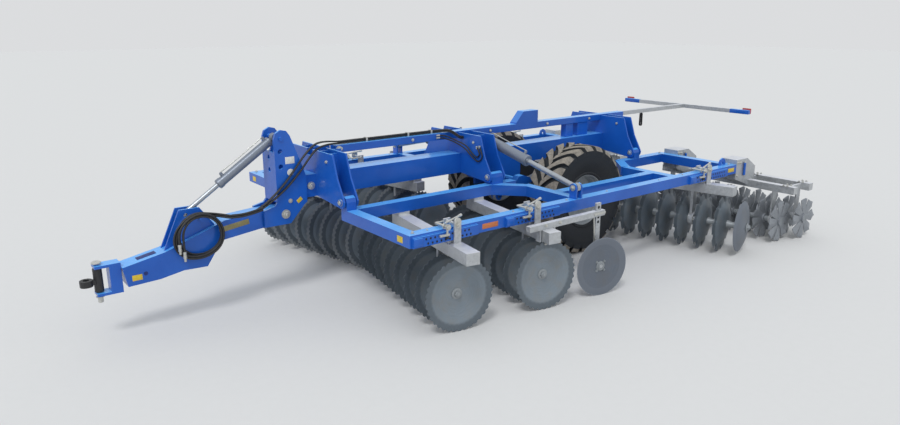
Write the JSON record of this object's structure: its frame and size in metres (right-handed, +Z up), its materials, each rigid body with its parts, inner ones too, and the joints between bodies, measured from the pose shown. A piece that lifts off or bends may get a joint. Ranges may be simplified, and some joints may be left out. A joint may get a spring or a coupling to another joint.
{
  "type": "towed disc harrow",
  "caption": "Towed disc harrow: a main beam on a lifting wheel axle, a drawbar, and two folding wings that carry disc gangs, furrow discs and star rollers.",
  "frame": {"origin": "on the ground, under the middle of the machine's overall length and width", "axes": "+X forwards along the drawbar, towards the tractor; +Y to the left; +Z up"},
  "size_m": [7.5933, 4.08, 1.5194],
  "materials": {
    "blue_paint": "gloss",
    "galvanised": "hot dip galvanised, satin",
    "disc_steel": "rolled steel, satin",
    "rod_chrome": "polished",
    "cylinder_silver": "silver paint",
    "rim_silver": "silver paint",
    "tyre_rubber": "worn rubber with dust",
    "hose_rubber": "satin",
    "black_iron": "black",
    "lamp_red": "gloss"
  },
  "bodies": {
    "chassis": {"main_beam": "blue_paint", "front_portal": "blue_paint", "middle_portal": "blue_paint", "rear_portal": "blue_paint", "top_rail": "blue_paint", "light_bar": "galvanised", "lamp_left": "lamp_red", "lamp_right": "lamp_red", "mast": "blue_paint", "hose_run": "hose_rubber", "lamp_cable": "hose_rubber"},
    "drawbar": {"drawbar": "blue_paint", "hitch_yoke": "blue_paint", "hose_lead": "hose_rubber", "hose_coil": "hose_rubber", "hose_coupler_1": "rod_chrome", "hose_coupler_2": "rod_chrome"},
    "hitch": {"hitch_eye": "black_iron"},
    "draw_barrel": {"draw_barrel": "cylinder_silver"},
    "draw_rod": {"draw_rod": "rod_chrome"},
    "axle": {"axle": "blue_paint"},
    "lift_barrel": {"lift_barrel": "cylinder_silver"},
    "lift_rod": {"lift_rod": "rod_chrome"},
    "wheel_left": {"rim_left": "rim_silver", "tyre_left": "tyre_rubber"},
    "wing_left": {"wing_frame_left": "blue_paint", "gang_beam_1_left": "galvanised", "gang_beam_2_left": "galvanised", "gang_beam_3_left": "galvanised", "furrow_arm_left": "galvanised", "tail_frame_left": "galvanised"},
    "fold_barrel_left": {"fold_barrel_left": "cylinder_silver"},
    "fold_rod_left": {"fold_rod_left": "rod_chrome"},
    "disc_gang_1_left": {"disc_gang_1_left": "disc_steel"},
    "disc_gang_2_left": {"disc_gang_2_left": "disc_steel"},
    "disc_gang_3_left": {"disc_gang_3_left": "disc_steel"},
    "furrow_disc_left": {"furrow_disc_left": "disc_steel"},
    "star_roller_1_left": {"star_roller_1_left": "disc_steel"},
    "star_roller_2_left": {"star_roller_2_left": "disc_steel"},
    "wheel_right": {"rim_right": "rim_silver", "tyre_right": "tyre_rubber"},
    "wing_right": {"wing_frame_right": "blue_paint", "gang_beam_1_right": "galvanised", "gang_beam_2_right": "galvanised", "gang_beam_3_right": "galvanised", "furrow_arm_right": "galvanised", "tail_frame_right": "galvanised"},
    "fold_barrel_right": {"fold_barrel_right": "cylinder_silver"},
    "fold_rod_right": {"fold_rod_right": "rod_chrome"},
    "disc_gang_1_right": {"disc_gang_1_right": "disc_steel"},
    "disc_gang_2_right": {"disc_gang_2_right": "disc_steel"},
    "disc_gang_3_right": {"disc_gang_3_right": "disc_steel"},
    "furrow_disc_right": {"furrow_disc_right": "disc_steel"},
    "star_roller_1_right": {"star_roller_1_right": "disc_steel"},
    "star_roller_2_right": {"star_roller_2_right": "disc_steel"}
  },
  "joints": [
    {"name": "drawbar_pitch", "type": "hinge", "parent": "chassis", "child": "drawbar", "pos_m": [2.15365, 0, 0.79], "axis": [0, -1, 0], "range_deg": [-12, 8]},
    {"name": "hitch_swivel", "type": "hinge", "parent": "drawbar", "child": "hitch", "pos_m": [3.66365, 0, 0.484], "axis": [0, 0, 1], "range_deg": [-60, 60]},
    {"name": "draw_barrel_pivot", "type": "hinge", "parent": "chassis", "child": "draw_barrel", "pos_m": [2.16365, 0, 1.445], "axis": [0, -1, 0], "range_deg": [-8.11, 5.57]},
    {"name": "draw_rod_slide", "type": "slide", "parent": "draw_barrel", "child": "draw_rod", "axis": [0.8322, 0, -0.5545], "range_m": [-0.0797, 0.1175]},
    {"name": "axle_lower", "type": "hinge", "parent": "chassis", "child": "axle", "pos_m": [-0.36635, 0, 0.77], "axis": [0, -1, 0], "range_deg": [0, 35]},
    {"name": "lift_barrel_pivot", "type": "hinge", "parent": "chassis", "child": "lift_barrel", "pos_m": [-1.44635, 0, 0.8], "axis": [0, -1, 0], "range_deg": [-0.5, 3.18]},
    {"name": "lift_rod_slide", "type": "slide", "parent": "lift_barrel", "child": "lift_rod", "axis": [0.9707, 0, -0.2404], "range_m": [-0.004, 0.1328]},
    {"name": "wheel_spin_left", "type": "hinge", "parent": "axle", "child": "wheel_left", "pos_m": [-0.92635, 0.66, 0.575], "axis": [0, 1, 0], "continuous": true},
    {"name": "wing_fold_left", "type": "hinge", "parent": "chassis", "child": "wing_left", "pos_m": [1.80365, 0.52, 0.92], "axis": [1, 0, 0], "range_deg": [0, 80]},
    {"name": "fold_barrel_pivot_left", "type": "hinge", "parent": "chassis", "child": "fold_barrel_left", "pos_m": [-0.06635, 0.16, 1.245], "axis": [1, 0, 0], "range_deg": [-0.5, 63.58]},
    {"name": "fold_rod_slide_left", "type": "slide", "parent": "fold_barrel_left", "child": "fold_rod_left", "axis": [0, 0.9745, -0.2246], "range_m": [-0.5514, 0.002]},
    {"name": "gang_1_spin_left", "type": "hinge", "parent": "wing_left", "child": "disc_gang_1_left", "pos_m": [1.38365, 1.53, 0.305], "axis": [0.1685, 0.9857, 0], "continuous": true},
    {"name": "gang_2_spin_left", "type": "hinge", "parent": "wing_left", "child": "disc_gang_2_left", "pos_m": [0.52365, 1.63, 0.305], "axis": [0.1685, 0.9857, 0], "continuous": true},
    {"name": "gang_3_spin_left", "type": "hinge", "parent": "wing_left", "child": "disc_gang_3_left", "pos_m": [-2.14135, 1.74, 0.305], "axis": [-0.2419, 0.9703, 0], "continuous": true},
    {"name": "furrow_spin_left", "type": "hinge", "parent": "wing_left", "child": "furrow_disc_left", "pos_m": [-0.12635, 1.655, 0.27], "axis": [0.2079, 0.9781, 0], "continuous": true},
    {"name": "roller_1_spin_left", "type": "hinge", "parent": "wing_left", "child": "star_roller_1_left", "pos_m": [-2.94635, 1.9, 0.235], "axis": [0, 1, 0], "continuous": true},
    {"name": "roller_2_spin_left", "type": "hinge", "parent": "wing_left", "child": "star_roller_2_left", "pos_m": [-3.28635, 1.995, 0.235], "axis": [0, 1, 0], "continuous": true},
    {"name": "wheel_spin_right", "type": "hinge", "parent": "axle", "child": "wheel_right", "pos_m": [-0.92635, -0.66, 0.575], "axis": [0, 1, 0], "continuous": true},
    {"name": "wing_fold_right", "type": "hinge", "parent": "chassis", "child": "wing_right", "pos_m": [1.80365, -0.52, 0.92], "axis": [-1, 0, 0], "range_deg": [0, 80]},
    {"name": "fold_barrel_pivot_right", "type": "hinge", "parent": "chassis", "child": "fold_barrel_right", "pos_m": [-0.06635, -0.16, 1.245], "axis": [-1, 0, 0], "range_deg": [-0.5, 63.58]},
    {"name": "fold_rod_slide_right", "type": "slide", "parent": "fold_barrel_right", "child": "fold_rod_right", "axis": [0, -0.9745, -0.2246], "range_m": [-0.5514, 0.002]},
    {"name": "gang_1_spin_right", "type": "hinge", "parent": "wing_right", "child": "disc_gang_1_right", "pos_m": [1.38365, -1.53, 0.305], "axis": [0.1685, -0.9857, 0], "continuous": true},
    {"name": "gang_2_spin_right", "type": "hinge", "parent": "wing_right", "child": "disc_gang_2_right", "pos_m": [0.52365, -1.63, 0.305], "axis": [0.1685, -0.9857, 0], "continuous": true},
    {"name": "gang_3_spin_right", "type": "hinge", "parent": "wing_right", "child": "disc_gang_3_right", "pos_m": [-2.14135, -1.74, 0.305], "axis": [-0.2419, -0.9703, 0], "continuous": true},
    {"name": "furrow_spin_right", "type": "hinge", "parent": "wing_right", "child": "furrow_disc_right", "pos_m": [-0.12635, -1.655, 0.27], "axis": [0.2079, -0.9781, 0], "continuous": true},
    {"name": "roller_1_spin_right", "type": "hinge", "parent": "wing_right", "child": "star_roller_1_right", "pos_m": [-2.94635, -1.9, 0.235], "axis": [0, 1, 0], "continuous": true},
    {"name": "roller_2_spin_right", "type": "hinge", "parent": "wing_right", "child": "star_roller_2_right", "pos_m": [-3.28635, -1.995, 0.235], "axis": [0, 1, 0], "continuous": true}
  ],
  "couplings": [
    {"joint": "draw_barrel_pivot", "follows": "drawbar_pitch", "ratio": 0.63397},
    {"joint": "draw_rod_slide", "follows": "drawbar_pitch", "m_per_rad": -0.5418},
    {"joint": "lift_barrel_pivot", "follows": "axle_lower", "ratio": 0.07669},
    {"joint": "lift_rod_slide", "follows": "axle_lower", "m_per_rad": 0.21083},
    {"joint": "fold_barrel_pivot_left", "follows": "wing_fold_left", "ratio": 0.78845},
    {"joint": "fold_rod_slide_left", "follows": "wing_fold_left", "m_per_rad": -0.39346},
    {"joint": "fold_barrel_pivot_right", "follows": "wing_fold_right", "ratio": 0.78845},
    {"joint": "fold_rod_slide_right", "follows": "wing_fold_right", "m_per_rad": -0.39346}
  ]
}
